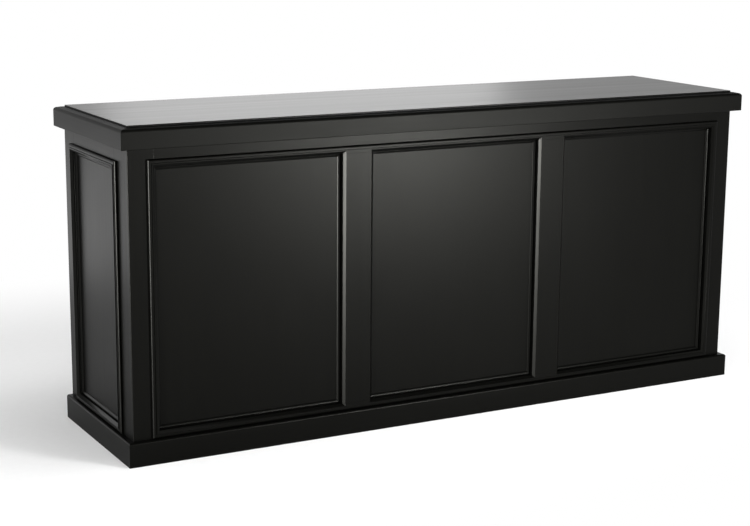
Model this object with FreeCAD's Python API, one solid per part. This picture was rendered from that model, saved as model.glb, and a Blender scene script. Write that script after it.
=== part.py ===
import FreeCAD, Part
import os

from FreeCAD import Matrix, Placement, Vector

# A panelled serving counter with open shelves behind it, in millimetres.
# +X runs along the counter, -Y is the customers' side, +Z is up.
# The origin is on the floor, under the middle of the worktop.

# ---- overall sizes ----
LENGTH = 2400.0
DEPTH = 650.0
HEIGHT = 1080.0
OVERHANG = 28.0  # worktop beyond the body, on all four sides

# ---- worktop ----
EDGE_WIDTH = 30.0  # the moulded edge round the worktop board
EDGE_HEIGHT = 67.0
EDGE_STEP = 5.0  # the board stands this far above the edge moulding
EDGE_NOSE_RADIUS = 11.0
EDGE_SHOULDER_DROP = 3.0
EDGE_SHOULDER_BOW = 0.3  # its middle's share of the drop, so it is gently convex
EDGE_ARRIS = 2.0  # the rounding along its lower outer edge
BOARD_THICKNESS = 30.0
BATTEN_WIDTH = 80.0

# ---- plinth ----
PLINTH_HEIGHT = 80.0
PLINTH_THICKNESS = 21.0
PLINTH_NOSE_RADIUS = 7.0
TOE_RECESS = 34.0  # the back plinth board stands this far in from the body's back

# ---- panelled frames on the front and the two ends ----
FRAME_THICKNESS = 25.0
OUTER_STILE = 86.5  # on the front
MID_STILE = 109.0
END_STILE = 90.0
TOP_RAIL = 59.0  # on the front
END_TOP_RAIL = 72.0
BOTTOM_RAIL = 105.0
FRONT_PANELS = 3
CORNER_RADIUS = 2.0  # the rounded front corners of the body
PANEL_THICKNESS = 10.0
END_PANEL_THICKNESS = 17.0  # their faces lie nearer the frame's face than the front's
REBATE_WIDTH = 10.0
PANEL_CLEARANCE = 0.5
TENON_LENGTH = 30.0
TENON_THICKNESS = 8.0
TENON_SHOULDER = 10.0
TENON_FROM_BACK = 11.0

# ---- mouldings on the frames ----
BORDER_WIDTH = 24.0  # the planted border, from its outer edge to the openings
BORDER_LIP = 3.6  # height of its outer edge, where the ovolo starts
OVOLO_WIDTH = 6.5
OVOLO_HEIGHT = 10.0
OVOLO_LAND = 4.5  # the strip between the ovolo and the fine groove
QUIRK_WIDTH = 1.7  # the fine groove beside the border's flat
QUIRK_FLOOR = 8.0
BORDER_FLAT = 12.0  # thickness of its flat, and how far the mid stiles stand forward
SLOPE_FOOT = 4.0  # height where the 45 degree slope round each opening ends
SLOPE_OVERCUT = 1.0  # the planed slope is drawn this far beyond the flat
BEAD_WIDTH = 12.5  # the low bead that holds each panel
BEAD_GROOVE_WIDTH = 2.5  # between the opening's edge and the bead
BEAD_GROOVE_FLOOR = 1.5  # these heights are above the panel
BEAD_WALL = 4.6
BEAD_CREST = 5.4
BEAD_CREST_AT = 4.6  # from the opening's edge
BEAD_FOOT = 1.4
BEAD_FOOT_WIDTH = 0.5
BEAD_BULGE = 0.18  # how far its slope is convex, as a share of its height

# ---- carcass behind the frames ----
CARCASS_BOARD = 18.0
SHELF_BOARD = 22.0
HOUSING = 6.0  # depth of the grooves that take the dividers and the bottom board
STRETCHER_WIDTH = 90.0

# ---- loose shelves and their pins ----
SHELVES_PER_BAY = 2
SHELF_SIDE_GAP = 1.0
SHELF_FRONT_GAP = 2.0
SHELF_SET_BACK = 25.0
SHELF_EDGE_RADIUS = 3.0
PIN_RADIUS = 2.5
PIN_IN_BOARD = 10.0
PIN_IN_BAY = 9.0
PIN_HOLE_DEPTH = 11.0
PIN_INSET = 50.0  # from a shelf's front and back edges to its pins

# ---- worktop screws ----
SCREW_RADIUS = 2.5
SCREW_LENGTH = 40.0
SCREW_HEAD_RADIUS = 5.0
SCREW_HEAD_DEPTH = 3.0
SCREW_PLACES = (-750.0, 750.0)
SCREW_INSET = 60.0  # from the worktop board's long edges

# ---- sizes that follow ----
ARC_MIDDLE = 1 - 0.5**0.5  # how far a quarter round's middle stays from its two faces
EDGE_INNER_X = LENGTH / 2 - EDGE_WIDTH
EDGE_INNER_Y = DEPTH / 2 - EDGE_WIDTH
BODY_X = LENGTH / 2 - OVERHANG
BODY_Y = DEPTH / 2 - OVERHANG
BODY_TOP = HEIGHT - EDGE_STEP - EDGE_HEIGHT
FRAME_BACK_X = BODY_X - FRAME_THICKNESS
FRAME_BACK_Y = BODY_Y - FRAME_THICKNESS
PANEL_FACE = -(FRAME_THICKNESS - PANEL_THICKNESS)
END_PANEL_FACE = -(FRAME_THICKNESS - END_PANEL_THICKNESS)
OPENING_WIDTH = (2 * BODY_X - 2 * OUTER_STILE - (FRONT_PANELS - 1) * MID_STILE) / FRONT_PANELS
OPENING_BOTTOM = BOTTOM_RAIL
FRONT_OPENING_TOP = BODY_TOP - TOP_RAIL
END_OPENING_TOP = BODY_TOP - END_TOP_RAIL
MID_STILE_X = OPENING_WIDTH / 2 + MID_STILE / 2
BAY_X = FRAME_BACK_X - CARCASS_BOARD  # inner faces of the carcass ends
BAY_FRONT_Y = -FRAME_BACK_Y + CARCASS_BOARD  # inner face of the front lining
BAY_BOTTOM = PLINTH_HEIGHT + SHELF_BOARD
BAY_TOP = BODY_TOP - SHELF_BOARD
COMPARTMENT = (BAY_TOP - BAY_BOTTOM - SHELVES_PER_BAY * SHELF_BOARD) / (SHELVES_PER_BAY + 1)
SHELF_FRONT_Y = BAY_FRONT_Y + SHELF_FRONT_GAP
SHELF_BACK_Y = BODY_Y - SHELF_SET_BACK
PIN_ROWS_Y = (SHELF_FRONT_Y + PIN_INSET, SHELF_BACK_Y - PIN_INSET)

FRONT_FACE = Placement(Matrix(1, 0, 0, 0, 0, 0, -1, -BODY_Y, 0, 1, 0, 0, 0, 0, 0, 1))
LEFT_FACE = Placement(Matrix(0, 0, -1, -BODY_X, -1, 0, 0, 0, 0, 1, 0, 0, 0, 0, 0, 1))


def box(x0, x1, y0, y1, z0, z1):
    """A board between the given limits."""
    return Part.makeBox(x1 - x0, y1 - y0, z1 - z0, Vector(x0, y0, z0))


def save(name, *solids):
    """Write one sub-part, which may be several separate solids."""
    shape = solids[0] if len(solids) == 1 else Part.makeCompound(list(solids))
    shape.exportStep("parts/" + name + ".step")


def on_face(face, shape):
    """Stand a shape drawn flat (X across, Y up, Z outwards) against a face of the body."""
    placed = shape.copy()
    placed.Placement = face.multiply(placed.Placement)
    return placed


def mirrored(shape):
    """The same piece at the other end of the counter."""
    return shape.mirror(Vector(0, 0, 0), Vector(1, 0, 0))


def rounded(shape, radius, wanted):
    """Round the edges that the test picks out by their middle point and direction."""
    edges = []
    for edge in shape.Edges:
        start, end = edge.Vertexes[0].Point, edge.Vertexes[-1].Point
        if wanted((start + end) * 0.5, end - start):
            edges.append(edge)
    return shape.makeFillet(radius, edges).Solids[0]


# ---- mitred mouldings ----

def section(steps):
    """A face from a list of points; a pair of points is an arc's middle and its end."""
    here = Vector(0, steps[0][0], steps[0][1])
    edges = []
    for step in steps[1:] + steps[:1]:
        if len(step) == 2:
            there = Vector(0, step[0], step[1])
            edges.append(Part.LineSegment(here, there).toShape())
        else:
            there = Vector(0, step[2], step[3])
            middle = Vector(0, step[0], step[1])
            edges.append(Part.Arc(here, middle, there).toShape())
        here = there
    return Part.Face(Part.Wire(edges))


def mitred_sticks(steps, half_x, half_y, outwards):
    """Four sticks of one section round a rectangle, mitred at its corners.

    They come in the order front (-Y), right, back, left. The section's first
    number is the distance from the rectangle, its second is the height.
    """
    reach = max(step[-2] for step in steps)
    low = min(step[-1] for step in steps) - 1  # the mitre block is a little deeper than the section
    high = max(step[-1] for step in steps) + 1
    side = 1 if outwards else -1
    flip = (-side, 1)
    profile = section([tuple(n * flip[i % 2] for i, n in enumerate(step)) for step in steps])
    sticks = []
    for turn in range(4):
        along, across = (half_x, half_y) if turn % 2 == 0 else (half_y, half_x)
        start = profile.copy()
        start.translate(Vector(-along - reach, -across, 0))
        stick = start.extrude(Vector(2 * (along + reach), 0, 0))
        corners = [
            Vector(-along, -across, low),
            Vector(along, -across, low),
            Vector(along + side * reach, -across - side * reach, low),
            Vector(-along - side * reach, -across - side * reach, low),
        ]
        mitre = Part.Face(Part.makePolygon(corners + corners[:1])).extrude(Vector(0, 0, high - low))
        stick = stick.common(mitre)
        stick.rotate(Vector(0, 0, 0), Vector(0, 0, 1), 90 * turn)
        sticks.append(stick.Solids[0])
    return sticks


def worktop_edge_section():
    """Square nosing, rounded above, with a gently sloping shoulder up to the board."""
    top = BODY_TOP + EDGE_HEIGHT
    nose_top = top - EDGE_SHOULDER_DROP
    nose_start = EDGE_WIDTH - EDGE_NOSE_RADIUS
    nose_y = EDGE_WIDTH - EDGE_NOSE_RADIUS * ARC_MIDDLE
    nose_z = nose_top - EDGE_NOSE_RADIUS * ARC_MIDDLE
    arris = EDGE_ARRIS * ARC_MIDDLE
    slope_middle = EDGE_SHOULDER_DROP * EDGE_SHOULDER_BOW
    return [
        (0, BODY_TOP),
        (EDGE_WIDTH - EDGE_ARRIS, BODY_TOP),
        (EDGE_WIDTH - arris, BODY_TOP + arris, EDGE_WIDTH, BODY_TOP + EDGE_ARRIS),
        (EDGE_WIDTH, nose_top - EDGE_NOSE_RADIUS),
        (nose_y, nose_z, nose_start, nose_top),
        (nose_start / 2, top - slope_middle, 0, top),
    ]


def plinth_section():
    """A board with a rounded outer top edge."""
    nose = PLINTH_NOSE_RADIUS
    arc = nose * ARC_MIDDLE
    return [
        (0, 0),
        (PLINTH_THICKNESS, 0),
        (PLINTH_THICKNESS, PLINTH_HEIGHT - nose),
        (PLINTH_THICKNESS - arc, PLINTH_HEIGHT - arc, PLINTH_THICKNESS - nose, PLINTH_HEIGHT),
        (0, PLINTH_HEIGHT),
    ]


def border_section():
    """The planted border: an ovolo, a fine groove and a flat up to the openings."""
    middle_height = BORDER_LIP + (OVOLO_HEIGHT - BORDER_LIP) * (1 - ARC_MIDDLE)
    quirk_start = OVOLO_WIDTH + OVOLO_LAND
    flat_start = quirk_start + QUIRK_WIDTH
    return [
        (0, 0),
        (0, BORDER_LIP),
        (OVOLO_WIDTH * ARC_MIDDLE, middle_height, OVOLO_WIDTH, OVOLO_HEIGHT),
        (quirk_start, OVOLO_HEIGHT),
        (quirk_start, QUIRK_FLOOR),
        (flat_start, QUIRK_FLOOR),
        (flat_start, BORDER_FLAT),
        (BORDER_WIDTH, BORDER_FLAT),
        (BORDER_WIDTH, 0),
    ]


def bead_section(panel_face):
    """The panel bead: a groove beside the opening's edge, then a low crest that falls to the panel."""
    shoulder = (BEAD_CREST_AT - BEAD_GROOVE_WIDTH) * ARC_MIDDLE
    shoulder_height = BEAD_CREST - (BEAD_CREST - BEAD_WALL) * ARC_MIDDLE
    slope_end = BEAD_WIDTH - BEAD_FOOT_WIDTH
    bulge = (BEAD_CREST - BEAD_FOOT) * BEAD_BULGE
    steps = [
        (0, 0),
        (0, BEAD_GROOVE_FLOOR),
        (BEAD_GROOVE_WIDTH, BEAD_GROOVE_FLOOR),
        (BEAD_GROOVE_WIDTH, BEAD_WALL),
        (BEAD_GROOVE_WIDTH + shoulder, shoulder_height, BEAD_CREST_AT, BEAD_CREST),
        ((BEAD_CREST_AT + slope_end) / 2, (BEAD_CREST + BEAD_FOOT) / 2 + bulge, slope_end, BEAD_FOOT),
        (BEAD_WIDTH, BEAD_FOOT),
        (BEAD_WIDTH, 0),
    ]
    return [tuple(n + panel_face * (i % 2) for i, n in enumerate(step)) for step in steps]


# ---- frame and panel work, drawn flat: X across, Y up, Z outwards from the face ----

def tenon(x0, x1, y0, y1):
    low = -FRAME_THICKNESS + TENON_FROM_BACK
    return box(x0, x1, y0, y1, low, low + TENON_THICKNESS)


def opening_slope(x0, x1, y0, y1):
    """The tapered block that planes a 45 degree slope round an opening, mitred in its corners."""
    rims = []
    for height in (SLOPE_FOOT, BORDER_FLAT + SLOPE_OVERCUT):
        grow = height - SLOPE_FOOT
        left, right, low, high = x0 - grow, x1 + grow, y0 - grow, y1 + grow
        corners = [Vector(x, y, height) for x, y in ((left, low), (right, low), (right, high), (left, high))]
        rims.append(Part.makePolygon(corners + corners[:1]))
    return Part.makeLoft(rims, True, True)


def sloped(solids, openings, top):
    """The solids with the slope planed off round every opening."""
    for x0, x1 in openings:
        slope = opening_slope(x0, x1, OPENING_BOTTOM, top)
        solids = [solid.cut(slope) for solid in solids]
    return [solid.Solids[0] for solid in solids]


def frame_members(x0, x1, openings, top, panel_face):
    """Stiles, rails and mid stiles round a row of openings, tenoned together and rebated.

    The mid stiles stand forward of the rest, flush with the planted border's flat.
    """
    inner_x0 = openings[0][0]
    inner_x1 = openings[-1][1]
    left = box(x0, inner_x0, 0, BODY_TOP, -FRAME_THICKNESS, 0)
    right = box(inner_x1, x1, 0, BODY_TOP, -FRAME_THICKNESS, 0)
    rails = []
    for y0, y1 in ((0, OPENING_BOTTOM), (top, BODY_TOP)):
        tongue = tenon(
            inner_x0 - TENON_LENGTH, inner_x1 + TENON_LENGTH, y0 + TENON_SHOULDER, y1 - TENON_SHOULDER
        )
        left = left.cut(tongue)
        right = right.cut(tongue)
        rails.append(box(inner_x0, inner_x1, y0, y1, -FRAME_THICKNESS, 0).fuse(tongue).removeSplitter())
    mids = []
    for (_, mid_x0), (mid_x1, _) in zip(openings, openings[1:]):
        y0, y1 = OPENING_BOTTOM - TENON_LENGTH, top + TENON_LENGTH
        tongue = tenon(mid_x0 + TENON_SHOULDER, mid_x1 - TENON_SHOULDER, y0, y1)
        rails = [rail.cut(tongue) for rail in rails]
        mid = box(mid_x0, mid_x1, OPENING_BOTTOM, top, -FRAME_THICKNESS, BORDER_FLAT)
        mids.append(mid.fuse(tongue).removeSplitter())
    members = [left, right] + rails + mids
    for opening_x0, opening_x1 in openings:
        rebate = box(
            opening_x0 - REBATE_WIDTH,
            opening_x1 + REBATE_WIDTH,
            OPENING_BOTTOM - REBATE_WIDTH,
            top + REBATE_WIDTH,
            -FRAME_THICKNESS,
            panel_face,
        )
        members = [member.cut(rebate) for member in members]
    return sloped(members, openings, top)


def panel(x0, x1, top, panel_face):
    """A flat panel that reaches into the rebates round its opening."""
    reach = REBATE_WIDTH - PANEL_CLEARANCE
    y0, y1 = OPENING_BOTTOM - reach, top + reach
    return box(x0 - reach, x1 + reach, y0, y1, -FRAME_THICKNESS, panel_face)


def sticks_in_rectangle(steps, x0, x1, y0, y1):
    """Mitred sticks that run inwards from the edges of a rectangle on the face."""
    sticks = mitred_sticks(steps, (x1 - x0) / 2, (y1 - y0) / 2, outwards=False)
    for stick in sticks:
        stick.translate(Vector((x0 + x1) / 2, (y0 + y1) / 2, 0))
    return sticks


def border(openings, top):
    """The planted border round a row of openings."""
    sticks = sticks_in_rectangle(
        border_section(),
        openings[0][0] - BORDER_WIDTH,
        openings[-1][1] + BORDER_WIDTH,
        OPENING_BOTTOM - BORDER_WIDTH,
        top + BORDER_WIDTH,
    )
    return sloped(sticks, openings, top)


def front_openings():
    first = -BODY_X + OUTER_STILE
    pitch = OPENING_WIDTH + MID_STILE
    return [(first + i * pitch, first + i * pitch + OPENING_WIDTH) for i in range(FRONT_PANELS)]


def is_outer_corner(middle, run):
    """The upright edge where the front's face meets an end's face."""
    return abs(middle.x) > BODY_X - 1 and middle.z > -1 and abs(run.y) > BODY_TOP - 1


def make_front():
    names = (
        "front_stile_left",
        "front_stile_right",
        "front_bottom_rail",
        "front_top_rail",
        "front_mid_stile_left",
        "front_mid_stile_right",
    )
    openings = front_openings()
    top = FRONT_OPENING_TOP
    for name, member in zip(names, frame_members(-BODY_X, BODY_X, openings, top, PANEL_FACE)):
        if name in ("front_stile_left", "front_stile_right"):
            member = rounded(member, CORNER_RADIUS, is_outer_corner)
        save(name, on_face(FRONT_FACE, member))
    for name, (x0, x1) in zip(("left", "middle", "right"), openings):
        save("front_panel_" + name, on_face(FRONT_FACE, panel(x0, x1, top, PANEL_FACE)))
        beads = sticks_in_rectangle(bead_section(PANEL_FACE), x0, x1, OPENING_BOTTOM, top)
        save("front_panel_beads_" + name, *[on_face(FRONT_FACE, bead) for bead in beads])
    save("front_field_moulding", *[on_face(FRONT_FACE, stick) for stick in border(openings, top)])


def make_ends():
    """The left end, and its mirror image at the right; its frame stands behind the front frame."""
    back = -BODY_Y
    front = FRAME_BACK_Y
    top = END_OPENING_TOP
    opening = (back + END_STILE, front - END_STILE)
    names = ("rear_stile", "front_stile", "bottom_rail", "top_rail")
    members = frame_members(back, front, [opening], top, END_PANEL_FACE)
    pieces = {name: [member] for name, member in zip(names, members)}
    pieces["panel"] = [panel(*opening, top, END_PANEL_FACE)]
    pieces["panel_beads"] = sticks_in_rectangle(bead_section(END_PANEL_FACE), *opening, OPENING_BOTTOM, top)
    pieces["field_moulding"] = border([opening], top)
    for name, solids in pieces.items():
        placed = [on_face(LEFT_FACE, solid) for solid in solids]
        save("left_end_" + name, *placed)
        save("right_end_" + name, *[mirrored(solid) for solid in placed])


# ---- worktop, plinth and carcass ----

def screw(x, y):
    """A countersunk screw, driven upwards through a stretcher into a batten."""
    shank = Part.makeCylinder(SCREW_RADIUS, SCREW_LENGTH, Vector(x, y, BAY_TOP))
    head = Part.makeCone(SCREW_HEAD_RADIUS, SCREW_RADIUS, SCREW_HEAD_DEPTH, Vector(x, y, BAY_TOP))
    return shank.fuse(head).removeSplitter().Solids[0]


def screw_rows():
    """Screws through the front stretcher, then through the back one."""
    row_y = EDGE_INNER_Y - SCREW_INSET
    return [[screw(x, y) for x in SCREW_PLACES] for y in (-row_y, row_y)]


def make_worktop():
    board_bottom = HEIGHT - BOARD_THICKNESS
    x, y = EDGE_INNER_X, EDGE_INNER_Y
    save("worktop_board", box(-x, x, -y, y, board_bottom, HEIGHT))
    edges = mitred_sticks(worktop_edge_section(), x, y, True)
    for name, stick in zip(("front", "right", "back", "left"), edges):
        save("worktop_edge_" + name, stick)
    inner_y = y - BATTEN_WIDTH
    battens = [box(-x, x, y0, y1, BODY_TOP, board_bottom) for y0, y1 in ((-y, -inner_y), (inner_y, y))]
    for name, batten, screws in zip(("front", "back"), battens, screw_rows()):
        save("worktop_batten_" + name, batten.cut(Part.makeCompound(screws)).Solids[0])
    half = BATTEN_WIDTH / 2
    for name, centre in (("end", x - half), ("middle", MID_STILE_X)):
        pair = [
            box(side * centre - half, side * centre + half, -inner_y, inner_y, BODY_TOP, board_bottom)
            for side in (-1, 1)
        ]
        save("worktop_" + name + "_battens", *pair)


def make_plinth():
    """Front and end boards mitred at the front corners, and a recessed board at the back."""
    overrun = 200.0  # the ends are made too long behind, then cut off level with the body
    half_y = BODY_Y + overrun / 2
    keep = box(-LENGTH, LENGTH, -DEPTH, BODY_Y, 0, PLINTH_HEIGHT)
    sticks = mitred_sticks(plinth_section(), BODY_X, half_y, True)
    for name, index in (("front", 0), ("right", 1), ("left", 3)):
        stick = sticks[index]
        stick.translate(Vector(0, overrun / 2, 0))
        save("plinth_" + name, stick.common(keep).Solids[0])
    toe_y = BODY_Y - TOE_RECESS
    save("plinth_back", box(-BAY_X, BAY_X, toe_y - CARCASS_BOARD, toe_y, 0, PLINTH_HEIGHT))
    for name, side in (("left", -1), ("right", 1)):
        x = side * MID_STILE_X
        x0, x1 = x - SHELF_BOARD / 2, x + SHELF_BOARD / 2
        save("base_bearer_" + name, box(x0, x1, BAY_FRONT_Y, toe_y - CARCASS_BOARD, 0, PLINTH_HEIGHT))


def shelf_bottoms():
    """Height of the underside of each shelf, with equal compartments between them."""
    step = COMPARTMENT + SHELF_BOARD
    return [BAY_BOTTOM + COMPARTMENT + i * step for i in range(SHELVES_PER_BAY)]


def pin_holes(x0, x1):
    """A hole in front and a hole behind, under each shelf, across an upright board."""
    holes = []
    for y in PIN_ROWS_Y:
        for bottom in shelf_bottoms():
            centre = Vector(x0, y, bottom - PIN_RADIUS)
            holes.append(Part.makeCylinder(PIN_RADIUS, x1 - x0, centre, Vector(1, 0, 0)))
    return Part.makeCompound(holes)


def make_carcass():
    bottom_board = box(-BAY_X - HOUSING, BAY_X + HOUSING, BAY_FRONT_Y, BODY_Y, PLINTH_HEIGHT, BAY_BOTTOM)
    end = box(-FRAME_BACK_X, -BAY_X, -FRAME_BACK_Y, BODY_Y, 0, BODY_TOP)
    end = end.cut(bottom_board).cut(pin_holes(-BAY_X - PIN_HOLE_DEPTH, -BAY_X)).Solids[0]
    save("carcass_end_left", end)
    save("carcass_end_right", mirrored(end))
    for name, side in (("left", -1), ("right", 1)):
        x0 = side * MID_STILE_X - SHELF_BOARD / 2
        x1 = x0 + SHELF_BOARD
        divider = box(x0, x1, BAY_FRONT_Y, BODY_Y, BAY_BOTTOM - HOUSING, BAY_TOP)
        bottom_board = bottom_board.cut(divider)
        save("carcass_divider_" + name, divider.cut(pin_holes(x0, x1)).Solids[0])
    save("carcass_bottom_board", bottom_board.Solids[0])
    save("carcass_front_lining", box(-BAY_X, BAY_X, -FRAME_BACK_Y, BAY_FRONT_Y, 0, BODY_TOP))
    front = box(-BAY_X, BAY_X, BAY_FRONT_Y, BAY_FRONT_Y + STRETCHER_WIDTH, BAY_TOP, BODY_TOP)
    back = box(-BAY_X, BAY_X, BODY_Y - STRETCHER_WIDTH, BODY_Y, BAY_TOP, BODY_TOP)
    for name, stretcher, screws in zip(("front", "back"), (front, back), screw_rows()):
        save("top_stretcher_" + name, stretcher.cut(Part.makeCompound(screws)).Solids[0])
    save("worktop_screws", *[one for row in screw_rows() for one in row])


def bays():
    """Name and inner limits in X of each bay between the upright boards."""
    inner = MID_STILE_X - SHELF_BOARD / 2
    outer = MID_STILE_X + SHELF_BOARD / 2
    return (("left", -BAY_X, -outer), ("middle", -inner, inner), ("right", outer, BAY_X))


def shelf_pin(x, y, z, side):
    """A steel peg pushed into an upright board; it stands out into the bay, towards side."""
    into_bay = Vector(side, 0, 0)
    inner_end = Vector(x - side * PIN_IN_BOARD, y, z)
    return Part.makeCylinder(PIN_RADIUS, PIN_IN_BOARD + PIN_IN_BAY, inner_end, into_bay)


def is_shelf_lip(middle, run):
    """The two long edges of a shelf on the open side."""
    return middle.y > SHELF_BACK_Y - 1 and abs(run.x) > 1


def make_shelves():
    pins = []
    for name, x0, x1 in bays():
        for level, bottom in zip(("lower", "upper"), shelf_bottoms()):
            end0, end1 = x0 + SHELF_SIDE_GAP, x1 - SHELF_SIDE_GAP
            shelf = box(end0, end1, SHELF_FRONT_Y, SHELF_BACK_Y, bottom, bottom + SHELF_BOARD)
            save("shelf_" + name + "_" + level, rounded(shelf, SHELF_EDGE_RADIUS, is_shelf_lip))
            for y in PIN_ROWS_Y:
                pins.append(shelf_pin(x0, y, bottom - PIN_RADIUS, 1))
                pins.append(shelf_pin(x1, y, bottom - PIN_RADIUS, -1))
    save("shelf_pins", *pins)


os.makedirs("parts", exist_ok=True)
make_worktop()
make_front()
make_ends()
make_plinth()
make_carcass()
make_shelves()
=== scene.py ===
import math

import bpy
from mathutils import Matrix, Vector


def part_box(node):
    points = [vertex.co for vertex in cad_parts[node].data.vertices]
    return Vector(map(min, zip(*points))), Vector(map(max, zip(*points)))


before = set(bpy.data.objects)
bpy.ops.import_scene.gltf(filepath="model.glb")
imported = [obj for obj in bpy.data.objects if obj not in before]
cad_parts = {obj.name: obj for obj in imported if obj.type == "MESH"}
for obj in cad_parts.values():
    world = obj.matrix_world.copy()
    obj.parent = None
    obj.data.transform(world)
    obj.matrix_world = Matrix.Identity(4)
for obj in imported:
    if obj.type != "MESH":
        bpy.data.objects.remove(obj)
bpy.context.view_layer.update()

# A panelled bar counter, black outside and in, with open shelves behind it.
# Lengths are in metres. The customers' side faces -Y, and Z is up.

MM = 0.001
X, Y, Z = range(3)
WHITE = (1.0, 1.0, 1.0)


# ---- shader maths ----

class Value:
    """A node's output; sums, differences and products with it add Math nodes."""

    def __init__(self, paint, socket):
        self.paint = paint
        self.socket = socket

    def __add__(self, other):
        return self.paint.maths("ADD", self, other)

    def __sub__(self, other):
        return self.paint.maths("SUBTRACT", self, other)

    def __rsub__(self, other):
        return self.paint.maths("SUBTRACT", other, self)

    def __mul__(self, other):
        return self.paint.maths("MULTIPLY", self, other)

    __radd__ = __add__
    __rmul__ = __mul__


class Paint:
    """A node material and the one way in which its nodes are made."""

    def __init__(self, name):
        self.material = bpy.data.materials.new(name)
        self.material.use_nodes = True
        self.use(self.material.node_tree)

    def use(self, tree):
        self.tree = tree
        tree.nodes.clear()

    @classmethod
    def around(cls, tree):
        """The same maker for a node tree that belongs to something else, such as the world."""
        paint = cls.__new__(cls)
        paint.use(tree)
        return paint

    def node(self, kind, settings=None, sockets=None, output=0):
        """Add a node, with its settings first and then its sockets, and return one output."""
        made = self.tree.nodes.new(kind)
        for key, value in (settings or {}).items():
            if key == "stops":
                for element, (position, colour) in zip(made.color_ramp.elements, value):
                    element.position = position
                    element.color = (*colour, 1.0)
            else:
                setattr(made, key, value)
        for key, value in (sockets or {}).items():
            if isinstance(value, Value):
                self.tree.links.new(value.socket, made.inputs[key])
            else:
                made.inputs[key].default_value = value
        return Value(self, made.outputs[output]) if made.outputs else None

    def maths(self, operation, first, second=0.0):
        return self.node("ShaderNodeMath", {"operation": operation}, {0: first, 1: second})

    def place(self, stretch=(1.0, 1.0, 1.0)):
        """Where a point of the piece is, in metres, squeezed along each axis."""
        here = self.node("ShaderNodeTexCoord", output="Object")
        return self.node("ShaderNodeMapping", sockets={"Vector": here, "Scale": stretch})

    def part(self, vector, axis):
        return self.node("ShaderNodeSeparateXYZ", sockets={"Vector": vector}, output=axis)

    def noise(self, scale, stretch=(1.0, 1.0, 1.0), detail=2.0, roughness=0.5):
        sockets = {
            "Vector": self.place(stretch),
            "Scale": scale,
            "Detail": detail,
            "Roughness": roughness,
        }
        return self.node("ShaderNodeTexNoise", sockets=sockets)

    def blend(self, factor, tones):
        """A colour between two tones; the Mix node's colour sockets go by number."""
        dark, pale = tones
        sockets = {"Factor": factor, 6: (*dark, 1.0), 7: (*pale, 1.0)}
        return self.node("ShaderNodeMix", {"data_type": "RGBA"}, sockets, output=2)

    def bump(self, height, distance, before=None):
        sockets = {"Height": height, "Distance": distance}
        if before:
            sockets["Normal"] = before
        return self.node("ShaderNodeBump", sockets=sockets)

    def coat(self, **sockets):
        """One layer of finish; the sockets' names have underscores for spaces."""
        names = {key.replace("_", " "): value for key, value in sockets.items()}
        return self.node("ShaderNodeBsdfPrincipled", sockets=names)

    def either(self, factor, first, second):
        """The first shader where the factor is 0, and the second where it is 1."""
        return self.node("ShaderNodeMixShader", sockets={0: factor, 1: first, 2: second})

    def finished(self, shader):
        self.node("ShaderNodeOutputMaterial", sockets={"Surface": shader})
        return self.material


# ---- materials ----

def drawn_out(axis, share):
    """Scales that draw a figure out along one axis."""
    return tuple(share if i == axis else 1.0 for i in range(3))


GRAIN_SHARE = 0.035  # the width of a grain streak, as a share of its length
GRAINS = {
    "lengthwise": drawn_out(X, GRAIN_SHARE),
    "crosswise": drawn_out(Y, GRAIN_SHARE),
    "upright": drawn_out(Z, GRAIN_SHARE),
}

# Each finish varies between a dark and a pale tone.
OUTSIDE_TONES = (0.0012, 0.0012, 0.001), (0.0024, 0.0024, 0.002)
INSIDE_TONES = (0.018, 0.018, 0.0165), (0.027, 0.027, 0.025)
LACQUER_TONES = (0.0075, 0.0075, 0.007), (0.012, 0.012, 0.011)
BOARD_SIDE_TONES = (0.0018, 0.0018, 0.0015), (0.0032, 0.0032, 0.0027)
TIMBER_TONES = (0.33, 0.2, 0.1), (0.58, 0.42, 0.26)
ZINC_TONES = (0.5, 0.5, 0.49), (0.66, 0.66, 0.64)
FLOOR_TONES = (0.88, 0.88, 0.88), (0.92, 0.92, 0.92)

WARM_GLOSS = (1.0, 1.0, 0.93, 1.0)  # the tint of what the satin black reflects
BOARD_SIDE_DEPTH = 0.6 * MM  # how far in from its edges the worktop board counts as side


def satin_black(name, grain, tones, roughness, gloss):
    """Sprayed black over planed wood, with the grain just showing through the film."""
    paint = Paint(name)
    cloud = paint.noise(scale=3.0, detail=3.0)
    streak = paint.noise(scale=90.0, stretch=grain, detail=4.0)
    film = paint.noise(scale=900.0, detail=1.0)
    swell = paint.bump(cloud, 0.6 * MM)
    raised_grain = paint.bump(streak, 0.12 * MM, before=swell)
    orange_peel = paint.bump(film, 0.02 * MM, before=raised_grain)
    tone = cloud * 0.6 + streak * 0.4
    return paint.finished(paint.coat(
        Base_Color=paint.blend(tone, tones),
        Roughness=roughness + streak * 0.06 + cloud * 0.04,
        Specular_IOR_Level=gloss,
        Specular_Tint=WARM_GLOSS,
        Normal=orange_peel,
    ))


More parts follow.
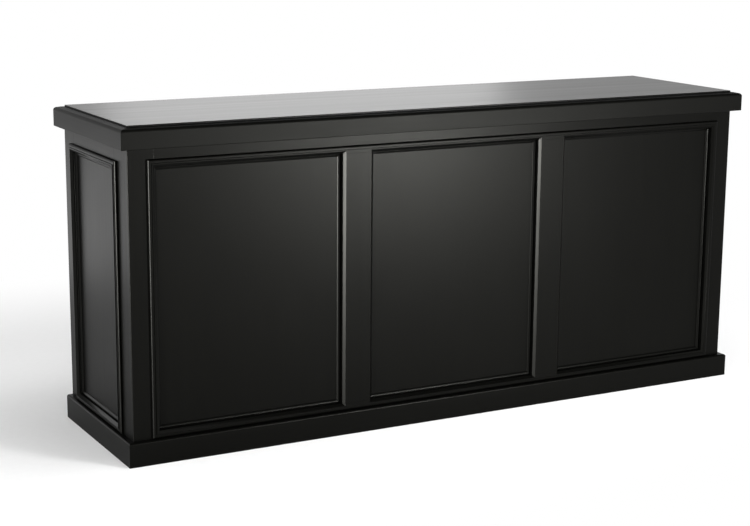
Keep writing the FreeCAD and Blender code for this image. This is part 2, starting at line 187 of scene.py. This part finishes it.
def worktop_lacquer():
    """Smoother lacquer, rubbed down along the board, whose upright sides are in flat black."""
    paint = Paint("black_worktop_lacquer")
    cloud = paint.noise(scale=2.2, stretch=drawn_out(X, 0.5), detail=3.0)
    streak = paint.noise(scale=160.0, stretch=drawn_out(X, 0.012), detail=5.0, roughness=0.6)
    broad = paint.noise(scale=26.0, stretch=drawn_out(X, 0.02), detail=3.0)
    broad_grain = paint.bump(broad, 0.25 * MM)
    lacquer = paint.coat(
        Base_Color=paint.blend(streak * 0.5 + cloud * 0.5, LACQUER_TONES),
        Roughness=0.27 + streak * 0.07 + broad * 0.07,
        Specular_IOR_Level=0.32,
        Normal=paint.bump(streak, 0.06 * MM, before=broad_grain),
    )
    flat_black = paint.coat(
        Base_Color=paint.blend(cloud, BOARD_SIDE_TONES),
        Roughness=0.36 + streak * 0.06,
        Specular_IOR_Level=0.08,
    )
    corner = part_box("worktop_board")[1]
    beyond_top = []
    for axis in (X, Y):
        from_middle = paint.maths("ABSOLUTE", paint.part(paint.place(), axis))
        beyond_top.append(from_middle - (corner[axis] - BOARD_SIDE_DEPTH))
    on_side = paint.maths("GREATER_THAN", paint.maths("MAXIMUM", *beyond_top), 0.0)
    return paint.finished(paint.either(on_side, lacquer, flat_black))


def bare_timber(name, grain):
    """Unpainted softwood for the battens and bearers."""
    paint = Paint(name)
    rings = paint.noise(scale=38.0, stretch=grain, detail=5.0, roughness=0.65)
    fibre = paint.noise(scale=420.0, stretch=grain)
    return paint.finished(paint.coat(
        Base_Color=paint.blend(rings * 0.75 + fibre * 0.25, TIMBER_TONES),
        Roughness=0.62 + fibre * 0.15,
        Normal=paint.bump(rings, 0.2 * MM),
    ))


def zinc_plate():
    paint = Paint("zinc_plated_steel")
    spangle = paint.noise(scale=700.0)
    return paint.finished(paint.coat(
        Base_Color=paint.blend(spangle, ZINC_TONES),
        Metallic=1.0,
        Roughness=0.28 + spangle * 0.14,
        Normal=paint.bump(spangle, 0.02 * MM),
    ))


OUTSIDE, WORKTOP_EDGE, INSIDE, TIMBER = {}, {}, {}, {}
for way, grain in GRAINS.items():
    OUTSIDE[way] = satin_black(
        "satin_black_" + way, grain, OUTSIDE_TONES, roughness=0.29, gloss=0.06
    )
    WORKTOP_EDGE[way] = satin_black(
        "satin_black_worktop_edge_" + way, grain, OUTSIDE_TONES, roughness=0.37, gloss=0.07
    )
    INSIDE[way] = satin_black(
        "flat_black_inside_" + way, grain, INSIDE_TONES, roughness=0.4, gloss=0.08
    )
    TIMBER[way] = bare_timber("bare_timber_" + way, grain)
WORKTOP_LACQUER = worktop_lacquer()
ZINC = zinc_plate()


# ---- finishing the pieces ----

ARRIS = 0.6 * MM
ARRIS_STEPS = 2
SHARP_EDGE = math.radians(40)
WELD_DISTANCE = 0.001 * MM
FACE_AREA_WEIGHT = 100  # the largest face at a corner sets its shading

HARDWARE = ("shelf_pins", "worktop_screws")
CROSSWISE_PAIRS = ("worktop_end_battens", "worktop_middle_battens")
INSIDE_PIECES = ("carcass_", "shelf_", "plinth_back", "top_stretcher_")


def grain_of(name):
    """The grain runs along a piece's longest side, but the box round a pair doesn't show that."""
    if name in CROSSWISE_PAIRS:
        return "crosswise"
    low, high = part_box(name)
    sides = list(high - low)
    return list(GRAINS)[sides.index(max(sides))]


def finish_for(name):
    """Zinc, lacquer, a black edge, bare timber, or black inside or outside."""
    if name in HARDWARE:
        return ZINC
    if name == "worktop_board":
        return WORKTOP_LACQUER
    way = grain_of(name)
    if name.startswith("worktop_edge"):
        return WORKTOP_EDGE[way]
    if "batten" in name or "bearer" in name:
        return TIMBER[way]
    return INSIDE[way] if name.startswith(INSIDE_PIECES) else OUTSIDE[way]


def dress(node, finish):
    node.data.materials.clear()
    node.data.materials.append(finish)


def ease_edges(node):
    """Sanded arrises: a small rounding of every sharp edge, with the faces kept flat."""
    weld = node.modifiers.new("faces_joined", "WELD")
    weld.merge_threshold = WELD_DISTANCE
    bevel = node.modifiers.new("sanded_arrises", "BEVEL")
    bevel.width = ARRIS
    bevel.segments = ARRIS_STEPS
    bevel.limit_method = "ANGLE"
    bevel.angle_limit = SHARP_EDGE
    shading = node.modifiers.new("flat_faces", "WEIGHTED_NORMAL")
    shading.weight = FACE_AREA_WEIGHT


for name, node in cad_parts.items():
    dress(node, finish_for(name))
    if name not in HARDWARE:
        ease_edges(node)


# ---- floor and backdrop ----

FLOOR_REACH = 60.0
SWEEP_CENTRE = (-0.65, 0.6, 0.0)  # on the floor, with its X halved as the sweep's is
SWEEP_STRETCH = drawn_out(X, 0.5)  # the counter is longer than it is deep
SWEEP_START = 0.7  # from the centre, where the floor begins to whiten
SWEEP_END = 1.9

BACKDROP_TOP = 0.34  # sine of the angle above the horizon where the white ends
CEILING_START = 0.46
CEILING = (0.06, 0.06, 0.06)
FILL = 0.5  # the world's light on the surfaces


def seen_directly(paint):
    """1 for what the camera, a reflection or glass shows, 0 for light on its way to a surface."""
    kinds = ("Is Camera Ray", "Is Glossy Ray", "Is Transmission Ray")
    camera, glossy, glass = (paint.node("ShaderNodeLightPath", output=kind) for kind in kinds)
    return camera + glossy + glass


def floor_paint():
    """Matt near the counter, where it takes the shadow, and plain white further away."""
    paint = Paint("pale_floor")
    tone = paint.blend(paint.noise(scale=40.0, detail=3.0), FLOOR_TONES)
    matt = paint.node("ShaderNodeBsdfDiffuse", sockets={"Color": tone, "Roughness": 1.0})
    white = paint.node("ShaderNodeEmission", sockets={"Color": (*WHITE, 1.0), "Strength": 1.0})
    away = paint.node(
        "ShaderNodeVectorMath",
        {"operation": "DISTANCE"},
        {0: paint.place(SWEEP_STRETCH), 1: SWEEP_CENTRE},
        output="Value",
    )
    sweep = paint.node(
        "ShaderNodeMapRange",
        {"interpolation_type": "SMOOTHSTEP"},
        {"Value": away, "From Min": SWEEP_START, "From Max": SWEEP_END},
    )
    return paint.finished(paint.either(sweep * seen_directly(paint), matt, white))


def make_floor():
    """A pale floor that whitens away from the counter, like a studio sweep."""
    reach = FLOOR_REACH
    corners = [(-reach, -reach, 0), (reach, -reach, 0), (reach, reach, 0), (-reach, reach, 0)]
    mesh = bpy.data.meshes.new("floor")
    mesh.from_pydata(corners, [], [(0, 1, 2, 3)])
    mesh.materials.append(floor_paint())
    floor = bpy.data.objects.new("floor", mesh)
    bpy.context.scene.collection.objects.link(floor)


def make_world():
    """A white backdrop all round up to head height, under a dim ceiling."""
    world = bpy.data.worlds.new("studio")
    bpy.context.scene.world = world
    world.use_nodes = True
    paint = Paint.around(world.node_tree)
    direction = paint.node("ShaderNodeTexCoord", output="Generated")
    shade = paint.node(
        "ShaderNodeValToRGB",
        {"stops": [(BACKDROP_TOP, WHITE), (CEILING_START, CEILING)]},
        {"Fac": paint.part(direction, Z)},
    )
    backdrop = paint.node("ShaderNodeBackground", sockets={"Color": shade, "Strength": 1.0})
    fill = paint.node("ShaderNodeBackground", sockets={"Color": (*WHITE, 1.0), "Strength": FILL})
    mixed = paint.either(seen_directly(paint), fill, backdrop)
    paint.node("ShaderNodeOutputWorld", sockets={"Surface": mixed})


# ---- lamps ----

FRONT_CENTRE = (-0.3, -0.3, 0.9)


def softbox(name, place, aim, size, watts, lights_matt=True, reflected=True):
    """A rectangular lamp, which can be kept out of matt shading or out of reflections."""
    light = bpy.data.lights.new(name, "AREA")
    light.shape = "RECTANGLE"
    light.size, light.size_y = size
    light.energy = watts
    lamp = bpy.data.objects.new(name, light)
    bpy.context.scene.collection.objects.link(lamp)
    lamp.location = place
    lamp.rotation_euler = (Vector(aim) - Vector(place)).to_track_quat("-Z", "Y").to_euler()
    lamp.visible_diffuse = lights_matt
    lamp.visible_glossy = reflected


def make_lamps():
    """Two at the front right, two at the left, then behind on the left, overhead and behind."""
    softbox("key", (1.35, -3.3, 0.72), FRONT_CENTRE, size=(0.7, 0.7), watts=94.0)
    softbox(
        "sheen", (1.5, -3.6, 0.71), FRONT_CENTRE,
        size=(0.75, 0.75), watts=48.0, lights_matt=False,
    )
    softbox("left", (-4.4, -2.3, 0.8), (-1.2, 0.0, 0.6), size=(1.0, 1.5), watts=90.0)
    softbox(
        "glint", (-4.3, -2.78, 0.35), (-0.5, -0.3, 0.5),
        size=(0.75, 0.7), watts=900.0, lights_matt=False,
    )
    softbox("left_rear", (-1.95, 2.2, 0.36), (-1.2, 0.0, 0.7), size=(0.7, 0.62), watts=2.6)
    softbox(
        "overhead", (0.6, -0.6, 4.5), (0.4, -0.3, 0.0),
        size=(3.0, 1.6), watts=90.0, reflected=False,
    )
    softbox("back", (1.85, 4.6, 2.5), (0.1, 0.0, 1.0), size=(2.6, 2.3), watts=24.0)


# ---- camera ----

CAMERA_PLACE = (-2.9273, -5.1139, 1.7500)
TURN_RIGHT = math.radians(28.5046)
TILT_DOWN = math.radians(12.1148)
ROLL = math.radians(0.4412)
FRAME_WIDTH = 750  # pixels
FOCAL_LENGTH = 1685.7  # pixels
SENSOR_WIDTH = 36.0  # millimetres


def make_camera():
    """Front left of the counter, a little above it, through a long lens."""
    camera = bpy.data.cameras.new("camera")
    camera.sensor_width = SENSOR_WIDTH
    camera.lens = SENSOR_WIDTH * FOCAL_LENGTH / FRAME_WIDTH
    stand = bpy.data.objects.new("camera", camera)
    bpy.context.scene.collection.objects.link(stand)
    stand.location = CAMERA_PLACE
    tilted = Matrix.Rotation(math.radians(90) - TILT_DOWN, 3, "X")
    turned = Matrix.Rotation(-TURN_RIGHT, 3, "Z") @ tilted @ Matrix.Rotation(ROLL, 3, "Z")
    stand.rotation_euler = turned.to_euler()
    bpy.context.scene.camera = stand


make_floor()
make_world()
make_lamps()
make_camera()

bpy.context.scene.view_settings.view_transform = "Standard"
